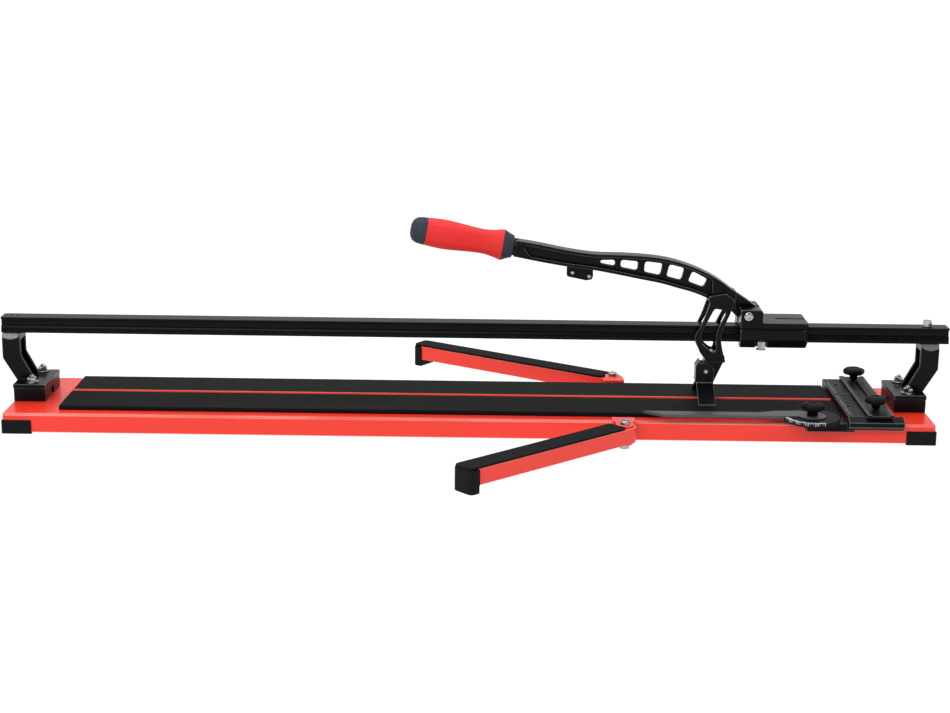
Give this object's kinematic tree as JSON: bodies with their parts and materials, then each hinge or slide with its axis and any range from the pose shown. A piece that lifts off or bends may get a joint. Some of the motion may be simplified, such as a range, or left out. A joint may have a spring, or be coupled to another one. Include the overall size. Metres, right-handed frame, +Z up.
{
  "type": "tile cutter",
  "caption": "Long manual tile cutter: folded steel bed with rubber pads, guide rail on two pedestals, sliding lever carriage, swing-out arms and side fence.",
  "frame": {"origin": "middle of the whole footprint, on the bench, with the support arms swung out as at rest", "axes": "+X along the rail from the pedestal under the grip towards the fence, +Y away from the user, +Z up"},
  "size_m": [1.5016, 0.7717, 0.3266],
  "materials": {
    "red_paint": "gloss red powder coat on folded sheet steel",
    "black_casting": "satin black paint on cast metal",
    "rail_black": "black anodised extrusion, satin",
    "black_rubber": "matt black rubber with a fine moulded grain",
    "black_plastic": "matt black moulded plastic",
    "slate_plastic": "matt slate grey moulded plastic",
    "grip_red": "soft red overmoulded grip",
    "zinc": "bright zinc plated steel",
    "wheel_steel": "ground tool steel with a sharpened rim",
    "pad_rubber": "dark grey ribbed rubber bed covering"
  },
  "bodies": {
    "frame": {"base_channel": "red_paint", "breaking_ridge": "red_paint", "front_pad": "pad_rubber", "back_pad": "pad_rubber", "foot_front_left": "black_rubber", "foot_front_right": "black_rubber", "foot_back_left": "black_rubber", "foot_back_right": "black_rubber", "left_spacer": "black_plastic", "right_spacer": "black_plastic", "left_pedestal": "black_casting", "right_pedestal": "black_casting", "left_bolt_front": "zinc", "left_bolt_back": "zinc", "right_bolt_front": "zinc", "right_bolt_back": "zinc", "rail": "rail_black", "rail_screw_left": "zinc", "rail_bolt_right": "zinc", "fence_plate": "black_casting", "fence_front_bar": "black_plastic", "guide_slide": "black_plastic", "front_arm_bracket": "black_casting", "back_arm_bracket": "black_casting", "front_hinge_bolt": "zinc", "back_hinge_bolt": "zinc", "front_bracket_screw": "zinc", "back_bracket_screw": "zinc"},
    "ruler": {"stop_ruler": "black_casting"},
    "knob_back": {"stop_knob_back": "black_plastic"},
    "knob_front": {"stop_knob_front": "black_plastic"},
    "knob_guide": {"guide_knob": "black_plastic"},
    "angle_arm": {"angle_bar": "slate_plastic", "protractor_disc": "black_plastic"},
    "carriage": {"carriage_body": "black_casting", "glide_front": "slate_plastic", "glide_back": "slate_plastic", "carriage_bolt": "zinc", "pivot_bolt": "zinc"},
    "lever": {"lever_casting": "black_casting", "lever_grip": "grip_red", "grip_collar": "slate_plastic", "grip_cap": "slate_plastic", "wheel_holder": "black_plastic", "holder_screw_left": "zinc", "holder_screw_right": "zinc", "yoke_bolt": "zinc", "wheel_axle": "zinc", "foot_pin": "zinc"},
    "wheel": {"cutting_wheel": "wheel_steel"},
    "breaker": {"breaker_foot": "black_casting"},
    "front_arm": {"front_arm_channel": "red_paint", "front_arm_rubber": "pad_rubber", "front_arm_cap": "black_rubber"},
    "back_arm": {"back_arm_channel": "red_paint", "back_arm_rubber": "pad_rubber", "back_arm_cap": "black_rubber"}
  },
  "joints": [
    {"name": "carriage_slide", "type": "slide", "parent": "frame", "child": "carriage", "axis": [1, 0, 0], "range_m": [-1.02, 0.165]},
    {"name": "lever_hinge", "type": "hinge", "parent": "carriage", "child": "lever", "pos_m": [0.42975, 0.01016, 0.1815], "axis": [0, 1, 0], "range_deg": [0, 12]},
    {"name": "wheel_spin", "type": "hinge", "parent": "lever", "child": "wheel", "pos_m": [0.36975, 0.01016, 0.052], "axis": [0, 1, 0], "continuous": true},
    {"name": "breaker_level", "type": "hinge", "parent": "lever", "child": "breaker", "pos_m": [0.36975, 0.01016, 0.0854], "axis": [0, 1, 0], "range_deg": [-12, 0]},
    {"name": "front_arm_hinge", "type": "hinge", "parent": "frame", "child": "front_arm", "pos_m": [0.23225, -0.14834, 0.024], "axis": [0, 0, 1], "range_deg": [-42, 47]},
    {"name": "back_arm_hinge", "type": "hinge", "parent": "frame", "child": "back_arm", "pos_m": [0.23225, 0.14766, 0.024], "axis": [0, 0, 1], "range_deg": [-56, 34]},
    {"name": "ruler_slide", "type": "slide", "parent": "frame", "child": "ruler", "axis": [0, 1, 0], "range_m": [-0.012, 0.012]},
    {"name": "angle_arm_hinge", "type": "hinge", "parent": "frame", "child": "angle_arm", "pos_m": [0.52125, -0.11734, 0.045], "axis": [0, 0, 1], "range_deg": [-15, 90]},
    {"name": "knob_back_turn", "type": "hinge", "parent": "frame", "child": "knob_back", "pos_m": [0.62475, 0.09666, 0.06], "axis": [0, 0, 1], "range_deg": [0, 180]},
    {"name": "knob_front_turn", "type": "hinge", "parent": "frame", "child": "knob_front", "pos_m": [0.62475, -0.08384, 0.06], "axis": [0, 0, 1], "range_deg": [0, 180]},
    {"name": "knob_guide_turn", "type": "hinge", "parent": "frame", "child": "knob_guide", "pos_m": [0.52125, -0.11734, 0.06], "axis": [0, 0, 1], "range_deg": [0, 180]}
  ],
  "couplings": [
    {"joint": "breaker_level", "follows": "lever_hinge", "ratio": -1}
  ]
}
